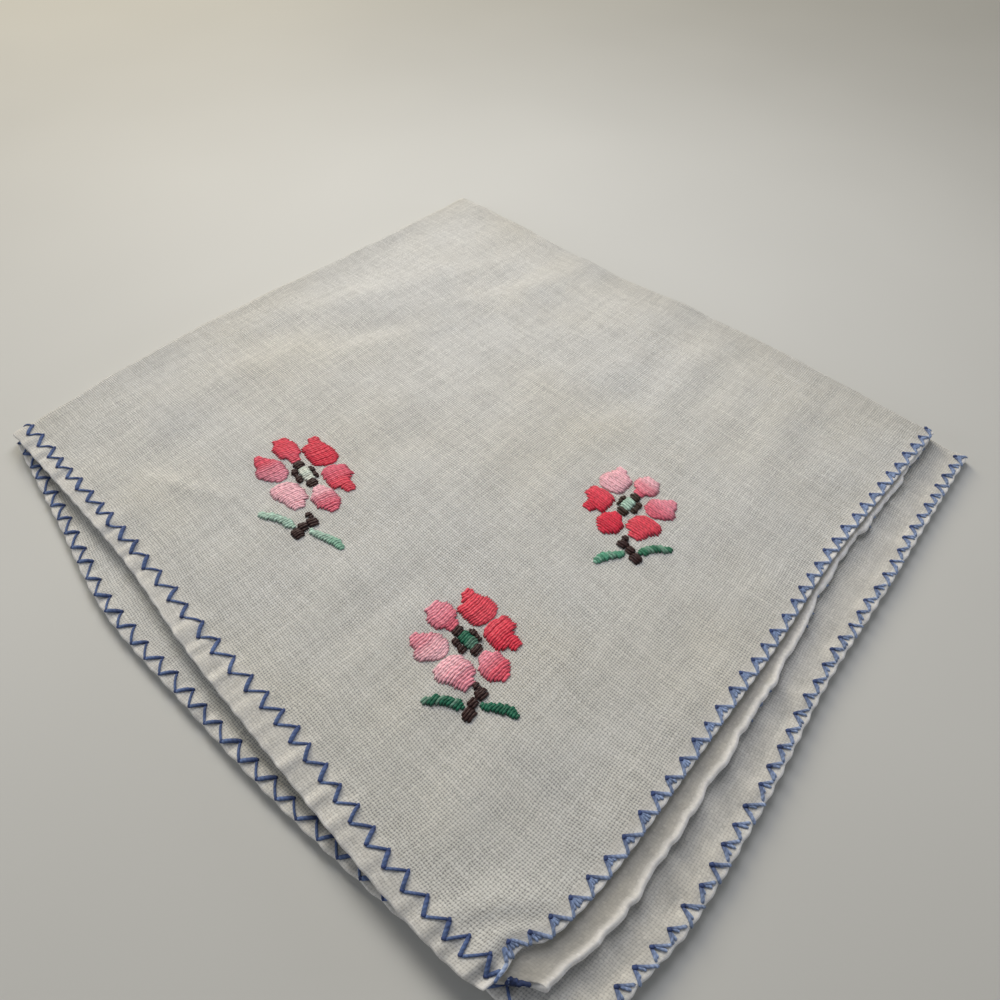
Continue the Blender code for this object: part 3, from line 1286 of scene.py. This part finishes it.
@dataclass
class Flower:
    """One satin stitch flower with its stem and two leaves."""

    name: str
    fold: FoldedSquare
    head: tuple
    foot: tuple
    x_axis: tuple
    y_axis: tuple
    colours: dict
    row_pitch: float = 0.5
    half_width: float = 0.3
    half_height: float = 0.23
    padding: float = 0.42
    seed: int = 1

    def bands(self, petal: Petal) -> list:
        """Split a part into the patches that are sewn on their own.

        Args:
            petal: which part.

        Returns:
            Each block of a stem or ring, or else the whole part, as its bands.
        """
        return [(band,) for band in CHART[petal]] if petal in BROWNS else [CHART[petal]]

    def ends_of(self, bands: tuple, y: float) -> tuple:
        """Find a row's two ends, rounded where one band meets the next and at the patch's own ends.

        Args:
            bands: the patch's bands.
            y: the row's place.

        Returns:
            The row's x from and to.
        """
        ends = np.array(bands[0][2:])
        for band in bands[1:]:
            passed = float(smooth_share(np.array(y), band[0] - 0.45, band[0] + 0.45))
            ends = ends + (np.array(band[2:]) - ends) * passed
        near_end = min(y - bands[0][0], bands[-1][1] - y)
        pull = 0.55 * max(0.0, 1.0 - near_end / 0.7) ** 2
        return ends[0] + pull, ends[1] - pull

    def sew(self, run: StitchRun, petal: Petal, random: np.random.Generator) -> None:
        """Lay one part's stitches on the cloth.

        Args:
            run: the mesh in the making.
            petal: which part.
            random: the flower's own random numbers.
        """
        x_axis = np.array(self.x_axis)
        y_axis = np.array(self.y_axis)
        area = abs(x_axis[0] * y_axis[1] - x_axis[1] * y_axis[0])
        step = self.row_pitch * float(np.linalg.norm(x_axis)) / area
        centre = np.array(STEM_CENTRE if petal in FOOT else HEAD_CENTRE)
        target = np.array(self.foot if petal in FOOT else self.head)
        share = np.linspace(0.0, 1.0, run.steps + 1)
        far = petal in (Petal.FAR, Petal.FAR_RIGHT, Petal.FAR_LEFT)
        sag = random.uniform(0.25, 0.5) * (1.0 if far else -0.6)
        for bands in self.bands(petal):
            low, high = bands[0][0], bands[-1][1]
            count = max(2, round((high - low) / step))
            for number in range(count):
                y = low + (number + 0.5) * (high - low) / count
                left, right = self.ends_of(bands, y)
                jitter = random.uniform(-0.13, 0.13, 2)
                x = left + jitter[0] + (right - left + jitter[1] - jitter[0]) * share
                bend = sag * (abs(right - left) / 6.0) * (1.0 - (2.0 * share - 1.0) ** 2)
                wave = 0.07 * np.sin(2.0 * math.pi * (x / 2.3 + random.uniform(-0.1, 0.1)))
                rows = y - bend + wave + random.uniform(-0.05, 0.05)
                line = target + (x - centre[0])[:, None] * x_axis + (rows - centre[1])[:, None] * y_axis
                self.lay_row(run, line, petal, (y - low) / (high - low), random)

    def lay_row(
        self, run: StitchRun, line: np.ndarray, petal: Petal, place: float, random: np.random.Generator
    ) -> None:
        """Lay one row of a part on the cloth, raised in its middle.

        Args:
            run: the mesh in the making.
            line: its points, in plan millimetres.
            petal: which part.
            place: how far across the part it lies, from 0 to 1.
            random: the flower's own random numbers.
        """
        share = np.linspace(0.0, 1.0, run.steps + 1)
        u, v = self.fold.flat_place(line[:, 0], line[:, 1])
        laid = self.fold.lay(u, v)
        padding = self.padding * (0.35 + 0.65 * math.sin(math.pi * min(max(place, 0.0), 1.0)))
        crown = np.sqrt(1.0 - (2.0 * share - 1.0) ** 4)
        rise = laid.face - 0.12 + (0.12 + padding + random.uniform(-0.05, 0.05)) * crown
        path = laid.middle + laid.facing * rise[:, None]
        first, last = self.colours[petal]
        blend = float(smooth_share(np.array(place + random.uniform(-0.12, 0.12)), 0.15, 0.85))
        colour = dyed(first) * (1.0 - blend) + dyed(last) * blend
        if petal in GREENS and random.random() < 0.22:
            fleck = 0.2 if petal is Petal.CENTRE else 0.3
            colour = (1.0 - fleck) * colour + fleck * dyed(Floss.PALE_MINT)
        spread = 0.22 if petal in GREENS else 0.13
        tones = 1.0 + random.uniform(-spread, spread, 2)
        width = self.half_width * random.uniform(0.92, 1.08)
        run.add(path, laid.facing, width, self.half_height, (colour * tones[0], colour * tones[1]))

    def build(self) -> list:
        """Sew the flower.

        Returns:
            Its petals, its greens and its browns, each as one piece.
        """
        random = np.random.default_rng(self.seed)
        petals = [petal for petal in Petal if petal not in GREENS + BROWNS]
        made = []
        for part, members in (("petals", petals), ("greens", GREENS), ("browns", BROWNS)):
            run = StitchRun(f"{self.name}_{part}")
            for petal in members:
                self.sew(run, petal, random)
            made.append(run.build(self.fold))
        return made


# Finishes


# How the threads stray from an even grid, slowly and in short jolts: waves a
# thread, detail of the noise and reach in threads.
THREAD_DRIFTS = ((0.045, 2.0, 3.0), (0.37, 1.0, 0.9))


@dataclass(frozen=True)
class LinenFinish:
    """Washed plain weave linen, about 21 threads a centimetre.

    To the eye it is a greyish white grid of uneven matt threads with a small dark
    gap between crossings, and painted shade where a thread dips under the next.
    Turned hems look closer and plainer because more plies lie there, and painted
    shade darkens the second layer's wide near band and the third layer's near
    strip. Thin rims glow a little because light passes through them and carry a
    painted highlight, and painted shade makes the cloth a little greyer near the
    creases.
    """

    name: str = "washed_plain_weave_linen"
    thread_pitch: float = 0.47
    thread_colour: str = "dcdcd7"
    # Dark in the gaps between threads, and painted shade where a thread dips under the next.
    gap_and_shade_colour: str = "929392"
    warm_colour: str = "dcd8c9"
    hem_colour: str = "dddbd5"
    # Painted shade on the second layer's wide near band and the third layer's near strip.
    band_shade_colour: str = "bebbb2"
    # Painted highlight on the rims.
    rim_highlight_colour: str = "fbf9f4"
    # Painted shade near the creases.
    crease_shade: float = 0.12
    # How strongly the rims' painted highlight is mixed in.
    rim_highlight: float = 0.95
    ply_cover: float = 0.44
    thread_width: float = 0.72
    slub: float = 0.3
    roughness: float = 0.85
    light_passed: float = 0.4
    light_reach_mm: float = 0.9

    def threads(
        self, tree: bpy.types.NodeTree, own: bpy.types.NodeSocket, run: bpy.types.NodeSocket, phase: float
    ) -> tuple:
        """Draw the threads of one direction.

        Args:
            tree: the material's node tree.
            own: distance across the threads, counted in threads.
            run: distance along them, counted the same way.
            phase: 0 for the warp and 1 for the weft, which goes under where the warp goes over.

        Returns:
            The threads' height, 0 in a gap, and their brightness.
        """
        number = add_node(tree, MATH, {0: own}, operation="FLOOR")
        middle = add_node(tree, MATH, {0: number, 1: 0.5}, operation="ADD")
        away = add_node(tree, MATH, {0: own, 1: middle}, operation="SUBTRACT")
        away = add_node(tree, MATH, {0: away}, operation="ABSOLUTE")
        lane = add_node(tree, MATH, {0: number, 1: 3.71}, operation="MULTIPLY")
        slow = add_node(tree, MATH, {0: run, 1: 0.06}, operation="MULTIPLY")
        place = add_node(tree, "ShaderNodeCombineXYZ", {0: lane, 1: slow, 2: 5.3 + 9.1 * phase})
        uneven = add_node(tree, NOISE, {"Vector": place, "Scale": 1.0, "Detail": 1.0})
        half = 0.5 * self.thread_width
        thinnest = half * 0.85
        thickest = half * (1.0 + self.slub)
        width = add_node(
            tree,
            MAP_RANGE,
            {"Value": uneven, "From Min": 0.3, "From Max": 0.7, "To Min": thinnest, "To Max": thickest},
        )
        ratio = add_node(tree, MATH, {0: away, 1: width}, operation="DIVIDE")
        square = add_node(tree, MATH, {0: ratio, 1: 2.0}, operation="POWER")
        inner = add_node(tree, MATH, {0: 1.0, 1: square}, operation="SUBTRACT", use_clamp=True)
        profile = add_node(tree, MATH, {0: inner}, operation="SQRT")
        angle = add_node(tree, MATH, {0: run, 1: number}, operation="ADD")
        lead = math.pi * (phase - 0.5)
        angle = add_node(tree, MATH, {0: angle, 1: math.pi, 2: lead}, operation="MULTIPLY_ADD")
        wave = add_node(tree, MATH, {0: angle}, operation="COSINE")
        over = add_node(tree, MATH, {0: wave, 1: 0.4, 2: 0.6}, operation="MULTIPLY_ADD")
        height = add_node(tree, MATH, {0: profile, 1: over}, operation="MULTIPLY")
        return height, uneven

    def build(self) -> bpy.types.Material:
        """Make the material.

        Returns:
            The material.
        """
        material, tree, shader = new_material(self.name)
        per_uv = SHEET_UV_MM / self.thread_pitch
        uv = add_node(tree, "ShaderNodeUVMap", uv_map="flat")
        counted = add_node(tree, VECTOR_MATH, {0: uv, 1: (per_uv, per_uv, 0.0)}, operation="MULTIPLY")
        moved = counted
        for scale, detail, reach in THREAD_DRIFTS:
            drift = add_node(tree, NOISE, {"Vector": counted, "Scale": scale, "Detail": detail})
            away = {0: drift.outputs["Color"], 1: (0.5, 0.5, 0.5)}
            drift = add_node(tree, VECTOR_MATH, away, operation="SUBTRACT")
            shift = {0: drift, 1: (reach, reach, 0.0), 2: moved}
            moved = add_node(tree, VECTOR_MATH, shift, operation="MULTIPLY_ADD")
        split = add_node(tree, "ShaderNodeSeparateXYZ", {0: moved})
        warp, warp_tone = self.threads(tree, split.outputs[0], split.outputs[1], 0.0)
        weft, weft_tone = self.threads(tree, split.outputs[1], split.outputs[0], 1.0)
        height = add_node(tree, MATH, {0: warp, 1: weft}, operation="MAXIMUM")
        warp_over = add_node(tree, MATH, {0: warp, 1: weft}, operation="GREATER_THAN")
        tone = add_node(tree, MIX, {"Factor": warp_over, "A": weft_tone, "B": warp_tone}, data_type="FLOAT")
        tones = {"Value": tone, "From Min": 0.25, "From Max": 0.75, "To Min": 0.94, "To Max": 1.06}
        tone = add_node(tree, MAP_RANGE, tones)
        cell = add_node(tree, VECTOR_MATH, {0: moved}, operation="FLOOR")
        speck = add_node(tree, "ShaderNodeTexWhiteNoise", {"Vector": cell})
        speck = add_node(tree, MAP_RANGE, {"Value": speck, "To Min": 0.93, "To Max": 1.06})
        tone = add_node(tree, MATH, {0: tone, 1: speck}, operation="MULTIPLY")
        # Painted shade: the colour follows the weave's height, dark in the gaps and where a thread dips.
        depth = {"Value": height, "From Min": 0.05, "From Max": 0.8}
        shown = add_node(tree, MAP_RANGE, depth, interpolation_type="SMOOTHSTEP")
        patch = add_node(tree, NOISE, {"Vector": counted, "Scale": 0.012, "Detail": 2.0})
        warmth = {"Value": patch, "From Min": 0.4, "From Max": 0.75, "To Min": 0.0, "To Max": 0.65}
        patch = add_node(tree, MAP_RANGE, warmth)
        hem = add_node(tree, ATTRIBUTE, attribute_name="plies_and_shade").outputs["Fac"]
        cover = add_node(tree, MATH, {0: hem, 1: self.ply_cover}, operation="MULTIPLY", use_clamp=True)
        # Painted shade where the plies go past 1.
        band_shade = add_node(tree, MATH, {0: hem, 1: 1.0}, operation="SUBTRACT", use_clamp=True)
        # Painted highlight: near the rims the colour is mixed towards a near white.
        rim = add_node(tree, ATTRIBUTE, attribute_name="rim_highlight_share").outputs["Fac"]
        rim = add_node(tree, MATH, {0: rim, 1: self.rim_highlight}, operation="MULTIPLY", use_clamp=True)
        thread = {"Factor": patch, "A": hex_colour(self.thread_colour), "B": hex_colour(self.warm_colour)}
        thread = add_node(tree, MIX, thread, data_type="RGBA").outputs["Result"]
        weave = {"Factor": shown, "A": hex_colour(self.gap_and_shade_colour), "B": thread}
        weave = add_node(tree, MIX, weave, data_type="RGBA").outputs["Result"]
        turned = {"Factor": band_shade, "A": hex_colour(self.hem_colour), "B": hex_colour(self.band_shade_colour)}
        turned = add_node(tree, MIX, turned, data_type="RGBA").outputs["Result"]
        plied_and_shaded = {"Factor": cover, "A": weave, "B": turned}
        plied_and_shaded = add_node(tree, MIX, plied_and_shaded, data_type="RGBA").outputs["Result"]
        highlighted = {"Factor": rim, "A": plied_and_shaded, "B": hex_colour(self.rim_highlight_colour)}
        highlighted = add_node(tree, MIX, highlighted, data_type="RGBA").outputs["Result"]
        # Painted shade: the cloth is greyer near the creases.
        crease = add_node(tree, ATTRIBUTE, attribute_name="crease_shade_share").outputs["Fac"]
        crease_darkening = add_node(tree, MATH, {0: crease, 1: -self.crease_shade, 2: 1.0}, operation="MULTIPLY_ADD")
        tone = add_node(tree, MATH, {0: tone, 1: crease_darkening}, operation="MULTIPLY")
        toned = add_node(tree, VECTOR_MATH, {0: highlighted, "Scale": tone}, operation="SCALE")
        tree.links.new(toned.outputs[0], shader.inputs["Base Color"])
        open_share = add_node(tree, MATH, {0: 1.0, 1: cover}, operation="SUBTRACT")
        relief = add_node(tree, MATH, {0: height, 1: open_share}, operation="MULTIPLY")
        bump = add_node(tree, "ShaderNodeBump", {"Height": relief, "Strength": 0.35, "Distance": 0.1 * MM})
        tree.links.new(bump.outputs[0], shader.inputs["Normal"])
        shader.inputs["Roughness"].default_value = self.roughness
        shader.inputs["Subsurface Weight"].default_value = self.light_passed
        shader.inputs["Subsurface Radius"].default_value = (1.0, 0.95, 0.9)
        shader.inputs["Subsurface Scale"].default_value = self.light_reach_mm * MM
        shader.inputs["Sheen Weight"].default_value = 0.08
        shader.inputs["Specular IOR Level"].default_value = 0.25
        return material


@dataclass(frozen=True)
class ThreadFinish:
    """Twisted cotton thread, matt for the hem and with a soft sheen for the flowers.

    To the eye each stitch is a rounded line with faint slanting marks of its
    twist and small darker nubs, with painted shade where it goes into the cloth.
    """

    name: str
    roughness: float
    twist_mm: float
    sheen: float
    marks: float
    nub_mm: float
    nub_shade: float

    def build(self) -> bpy.types.Material:
        """Make the material.

        Returns:
            The material.
        """
        material, tree, shader = new_material(self.name)
        floss = add_node(tree, ATTRIBUTE, attribute_name="floss")
        uv = add_node(tree, "ShaderNodeUVMap", uv_map="thread")
        split = add_node(tree, "ShaderNodeSeparateXYZ", {0: uv})
        turns_in_uv = THREAD_UV_MM / self.twist_mm
        along = add_node(tree, MATH, {0: split.outputs[1], 1: turns_in_uv}, operation="MULTIPLY")
        spiral = add_node(tree, MATH, {0: along, 1: split.outputs[0]}, operation="ADD")
        spiral = add_node(tree, MATH, {0: spiral, 1: 4.0 * math.pi}, operation="MULTIPLY")
        wave = add_node(tree, MATH, {0: spiral}, operation="SINE")
        dim = 1.0 - self.marks
        lit = 1.0 + self.marks
        twist = {"Value": wave, "From Min": -1.0, "From Max": 1.0, "To Min": dim, "To Max": lit}
        mark = add_node(tree, MAP_RANGE, twist)
        place = add_node(tree, "ShaderNodeTexCoord").outputs["Object"]
        nubs = add_node(tree, NOISE, {"Vector": place, "Scale": 1.0 / (self.nub_mm * MM)})
        hollow = 1.0 - self.nub_shade
        nap = {"Value": nubs, "From Min": 0.36, "From Max": 0.56, "To Min": hollow, "To Max": 1.06}
        nub = add_node(tree, MAP_RANGE, nap)
        mark = add_node(tree, MATH, {0: mark, 1: nub}, operation="MULTIPLY")
        toned = add_node(tree, VECTOR_MATH, {0: floss.outputs["Color"], "Scale": mark}, operation="SCALE")
        tree.links.new(toned.outputs[0], shader.inputs["Base Color"])
        relief = add_node(tree, MATH, {0: nubs, 1: 3.0, 2: wave}, operation="MULTIPLY_ADD")
        bump = add_node(tree, "ShaderNodeBump", {"Height": relief, "Strength": 0.35, "Distance": 0.05 * MM})
        tree.links.new(bump.outputs[0], shader.inputs["Normal"])
        shader.inputs["Roughness"].default_value = self.roughness
        shader.inputs["Sheen Weight"].default_value = self.sheen
        shader.inputs["Specular IOR Level"].default_value = 0.35
        return material


@dataclass(frozen=True)
class FloorFinish:
    """Plain painted board, rolled on and dried matt: to the eye a pale even grey with faint clouds."""

    name: str = "pale_painted_board"
    colour: str = "cfd0cc"
    roughness: float = 0.7
    clouds_a_metre: float = 9.0

    def build(self) -> bpy.types.Material:
        """Make the material.

        Returns:
            The material.
        """
        material, tree, shader = new_material(self.name)
        place = add_node(tree, "ShaderNodeTexCoord").outputs["Object"]
        cloud = add_node(tree, NOISE, {"Vector": place, "Scale": self.clouds_a_metre, "Detail": 2.0})
        tones = {"Value": cloud, "From Min": 0.3, "From Max": 0.7, "To Min": 0.96, "To Max": 1.02}
        share = add_node(tree, MAP_RANGE, tones)
        paint = {0: hex_colour(self.colour)[:3], "Scale": share}
        toned = add_node(tree, VECTOR_MATH, paint, operation="SCALE")
        tree.links.new(toned.outputs[0], shader.inputs["Base Color"])
        shader.inputs["Roughness"].default_value = self.roughness
        return material


# Studio


@dataclass(frozen=True)
class SoftLight:
    """A soft square light that points at the cloth, in metres and watts."""

    name: str
    place: tuple
    size: float
    power: float
    colour: str

    def hang(self) -> bpy.types.Object:
        """Hang the light.

        Returns:
            The light.
        """
        data = bpy.data.lights.new(self.name, "AREA")
        data.size = self.size
        data.energy = self.power
        data.color = hex_colour(self.colour)[:3]
        light = bpy.data.objects.new(self.name, data)
        light.location = self.place
        light.rotation_euler = (-Vector(self.place)).to_track_quat("-Z", "Y").to_euler()
        bpy.context.scene.collection.objects.link(light)
        return light


LIGHTS = (
    SoftLight("window light", (0.30, 0.90, 0.60), 0.5, 6.8, "fff3da"),
    SoftLight("overhead light", (0.08, 0.07, 0.23), 0.14, 0.31, "fcfbff"),
    SoftLight("left light", (-0.40, 0.30, 0.20), 0.25, 0.47, "f4f4fa"),
    SoftLight("low side light", (0.42, -0.52, 0.09), 0.22, 0.9, "f4f6ff"),
)


@dataclass
class Studio:
    """The floor, the room's light and the camera, in metres, degrees and a lens in millimetres."""

    floor_half: float = 1.5
    sky_colour: str = "e6e9f0"
    sky_strength: float = 0.17
    camera_place: tuple = (-0.071388, -0.071678, 0.118510)
    camera_turn: tuple = (37.783, -0.506, -46.063)
    camera_lens: float = 25.376

    def floor(self) -> bpy.types.Object:
        """Lay the floor just under the cloth.

        Returns:
            The floor.
        """
        bm = bmesh.new()
        bmesh.ops.create_grid(bm, x_segments=2, y_segments=2, size=self.floor_half)
        mesh = bpy.data.meshes.new("floor")
        bm.to_mesh(mesh)
        bm.free()
        mesh.materials.append(FloorFinish().build())
        floor = show("floor", mesh)
        return floor

    def sky(self) -> None:
        """Fill the room with even pale light."""
        world = bpy.data.worlds.new("room")
        world.use_nodes = True
        background = world.node_tree.nodes["Background"]
        background.inputs["Color"].default_value = hex_colour(self.sky_colour)
        background.inputs["Strength"].default_value = self.sky_strength
        bpy.context.scene.world = world

    def camera(self) -> bpy.types.Object:
        """Set up the camera where the photograph was taken from.

        Returns:
            The camera.
        """
        data = bpy.data.cameras.new("camera")
        data.sensor_width = 36.0
        data.lens = self.camera_lens
        data.clip_start = 0.005
        camera = bpy.data.objects.new("camera", data)
        camera.location = self.camera_place
        camera.rotation_euler = Euler([math.radians(a) for a in self.camera_turn], "XYZ")
        bpy.context.scene.collection.objects.link(camera)
        bpy.context.scene.camera = camera
        return camera

    def build(self) -> None:
        """Set up the whole studio."""
        self.floor()
        self.sky()
        for light in LIGHTS:
            light.hang()
        self.camera()
        bpy.context.scene.view_settings.view_transform = "Standard"


def flower_colours(petals: str, others: str) -> dict:
    """Give every part of a flower its colours at its low and its high end.

    Args:
        petals: colours of the far right, right, near, left, far left and far petals, each as
            one name or as two with a > between them.
        others: the same for the ring, the centre, the stem and the two leaves.

    Returns:
        Two colours for each part.
    """
    found = {}
    for part, names in zip(Petal, (petals + " " + others).split(), strict=True):
        both = names.split(">")
        found[part] = (Floss[both[0]], Floss[both[-1]])
    return found


def dress(piece: bpy.types.Object, slot: str, finish: bpy.types.Material) -> None:
    """Give a piece its finish and its body, and report it.

    Args:
        piece: the piece.
        slot: a material slot's name; not used.
        finish: its material.
    """
    piece.data.materials.append(finish)
    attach(piece, "root")
    LOG.info("%s: %d faces", piece.name, len(piece.data.polygons))


def main() -> None:
    """Build the pieces in order and dress them."""
    logging.basicConfig(level=logging.INFO, format="%(message)s")
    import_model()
    fold = FoldedSquare()

    cloth = ClothSheet(fold).build()
    dress(cloth, "white_linen", LinenFinish().build())
    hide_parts("handkerchief_cloth")

    hem_finish = ThreadFinish(
        "matt_twisted_cotton_hem_thread",
        roughness=0.75,
        twist_mm=1.4,
        sheen=0.06,
        marks=0.14,
        nub_mm=0.6,
        nub_shade=0.15,
    ).build()
    hems = (
        ("zigzag_first_side", Hem.FIRST_SIDE, 21),
        ("zigzag_second_side", Hem.SECOND_SIDE, 22),
        ("zigzag_first_end", Hem.FIRST_END, 23),
        ("zigzag_second_end", Hem.SECOND_END, 24),
    )
    for name, hem, seed in hems:
        piece = ZigzagHem(name, fold, hem, seed=seed).build()
        dress(piece, "blue_hem_thread", hem_finish)

    floss_finish = ThreadFinish(
        "stranded_cotton_floss",
        roughness=0.5,
        twist_mm=2.2,
        sheen=0.04,
        marks=0.1,
        nub_mm=0.55,
        nub_shade=0.16,
    ).build()
    flowers = (
        Flower(
            "near_flower", fold, HEAD_CENTRE, STEM_CENTRE, (1.0, 0.0), (0.0, 1.0),
            flower_colours(
                "CORAL_RED CRIMSON>CORAL_RED CORAL_ROSE>PINK PINK>LIGHT_PINK LIGHT_PINK>PINK ROSE>PINK",
                "DARK_BROWN DARK_GREEN DARK_BROWN DARK_GREEN DARK_GREEN",
            ),
            seed=31,
        ),
        Flower(
            "left_flower", fold, (35.2, 90.1), (26.8, 79.3), (0.92, -0.25), (0.15, 1.23),
            flower_colours(
                "CRIMSON>CORAL_RED CORAL_RED>ROSE ROSE>LIGHT_PINK LIGHT_PINK "
                "PINK>CORAL_ROSE CORAL_ROSE>CORAL_RED",
                "DARK_BROWN IVORY DARK_BROWN PALE_MINT FADED_GREEN>PALE_MINT",
            ),
            seed=32,
        ),
        Flower(
            "right_flower", fold, (76.0, 37.1), (67.2, 30.0), (0.0, 1.0), (0.93, 0.0),
            flower_colours(
                "LIGHT_PINK CRIMSON>CORAL_RED CRIMSON CORAL_RED ROSE>PINK ROSE>LIGHT_PINK",
                "OLIVE_BROWN PALE_MINT DARK_BROWN LEAF_GREEN MID_GREEN",
            ),
            seed=33,
        ),
    )
    slots = ("pink_embroidery_thread", "green_embroidery_thread", "brown_embroidery_thread")
    for flower in flowers:
        for piece, slot in zip(flower.build(), slots, strict=True):
            dress(piece, slot, floss_finish)

    Studio().build()
    bpy.context.view_layer.update()


if __name__ == "__main__":
    main()
